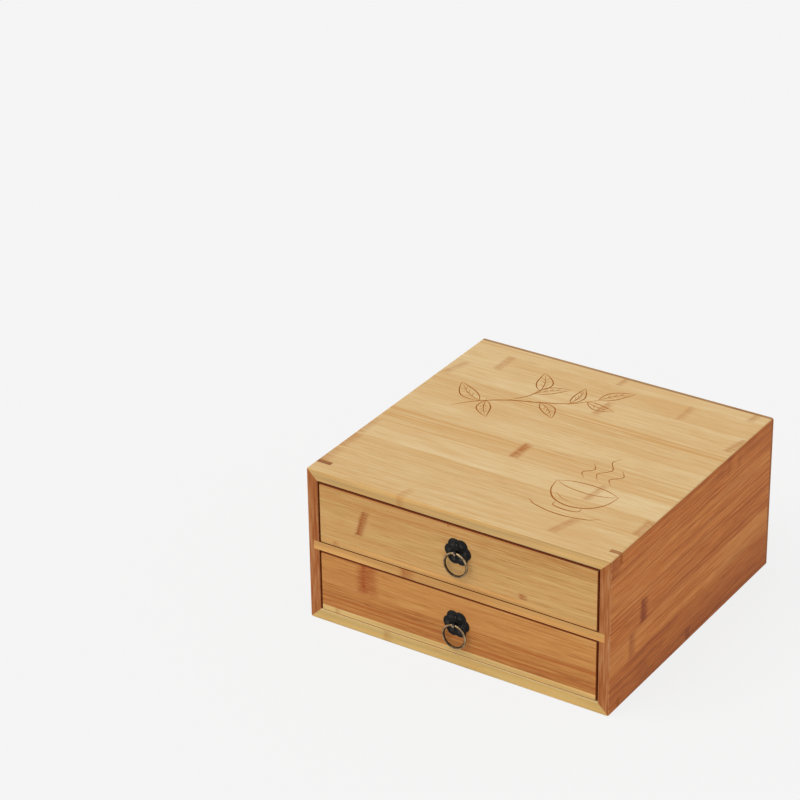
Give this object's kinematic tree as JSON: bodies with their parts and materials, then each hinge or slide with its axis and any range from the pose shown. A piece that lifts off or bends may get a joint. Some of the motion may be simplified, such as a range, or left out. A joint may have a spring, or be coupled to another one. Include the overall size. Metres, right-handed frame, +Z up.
{
  "type": "two-drawer tea storage box",
  "caption": "Shallow square bamboo box with mitred, keyed corners and stacked full-width drawers, each pulled by a hanging ring on a scalloped plate.",
  "frame": {"origin": "on the ground under the middle of the case, halfway between the front edge and the back panel's outer face", "axes": "+Z up, the drawer fronts face -Y and pull out that way, +X to the right of someone facing the fronts"},
  "size_m": [0.26, 0.2554, 0.13],
  "materials": {
    "bamboo_light": "satin, pale straw bamboo with brown nodes",
    "bamboo_honey": "satin, honey bamboo",
    "bamboo_amber": "satin, amber bamboo with darker streaks",
    "bamboo_brown": "satin, carbonised bamboo",
    "bamboo_dark": "satin, dark feather keys",
    "blackened_steel": "black, pressed relief",
    "antique_brass": "aged, worn bright on the high side"
  },
  "bodies": {
    "case": {"top_panel": "bamboo_light", "bottom_panel": "bamboo_light", "left_side": "bamboo_brown", "right_side": "bamboo_brown", "middle_shelf": "bamboo_light", "back_panel": "bamboo_brown", "corner_key_top_left": "bamboo_dark", "corner_key_top_right": "bamboo_dark", "corner_key_bottom_left": "bamboo_dark", "corner_key_bottom_right": "bamboo_dark"},
    "upper_drawer": {"upper_drawer_front": "bamboo_honey", "upper_drawer_left_wall": "bamboo_light", "upper_drawer_right_wall": "bamboo_light", "upper_drawer_back_wall": "bamboo_light", "upper_drawer_floor": "bamboo_light", "upper_drawer_pull_plate": "blackened_steel", "upper_drawer_split_pin": "blackened_steel", "upper_drawer_plate_nail": "blackened_steel"},
    "lower_drawer": {"lower_drawer_front": "bamboo_amber", "lower_drawer_left_wall": "bamboo_light", "lower_drawer_right_wall": "bamboo_light", "lower_drawer_back_wall": "bamboo_light", "lower_drawer_floor": "bamboo_light", "lower_drawer_pull_plate": "blackened_steel", "lower_drawer_split_pin": "blackened_steel", "lower_drawer_plate_nail": "blackened_steel"},
    "upper_ring": {"upper_ring": "antique_brass"},
    "lower_ring": {"lower_ring": "antique_brass"}
  },
  "joints": [
    {"name": "upper_drawer_slide", "type": "slide", "parent": "case", "child": "upper_drawer", "axis": [0, -1, 0], "range_m": [0, 0.2]},
    {"name": "upper_ring_swing", "type": "hinge", "parent": "upper_drawer", "child": "upper_ring", "pos_m": [0.0026, -0.12831, 0.0984], "axis": [-1, 0, 0], "range_deg": [0, 170]},
    {"name": "lower_drawer_slide", "type": "slide", "parent": "case", "child": "lower_drawer", "axis": [0, -1, 0], "range_m": [0, 0.2]},
    {"name": "lower_ring_swing", "type": "hinge", "parent": "lower_drawer", "child": "lower_ring", "pos_m": [0.001, -0.12831, 0.0364], "axis": [-1, 0, 0], "range_deg": [0, 170]}
  ]
}
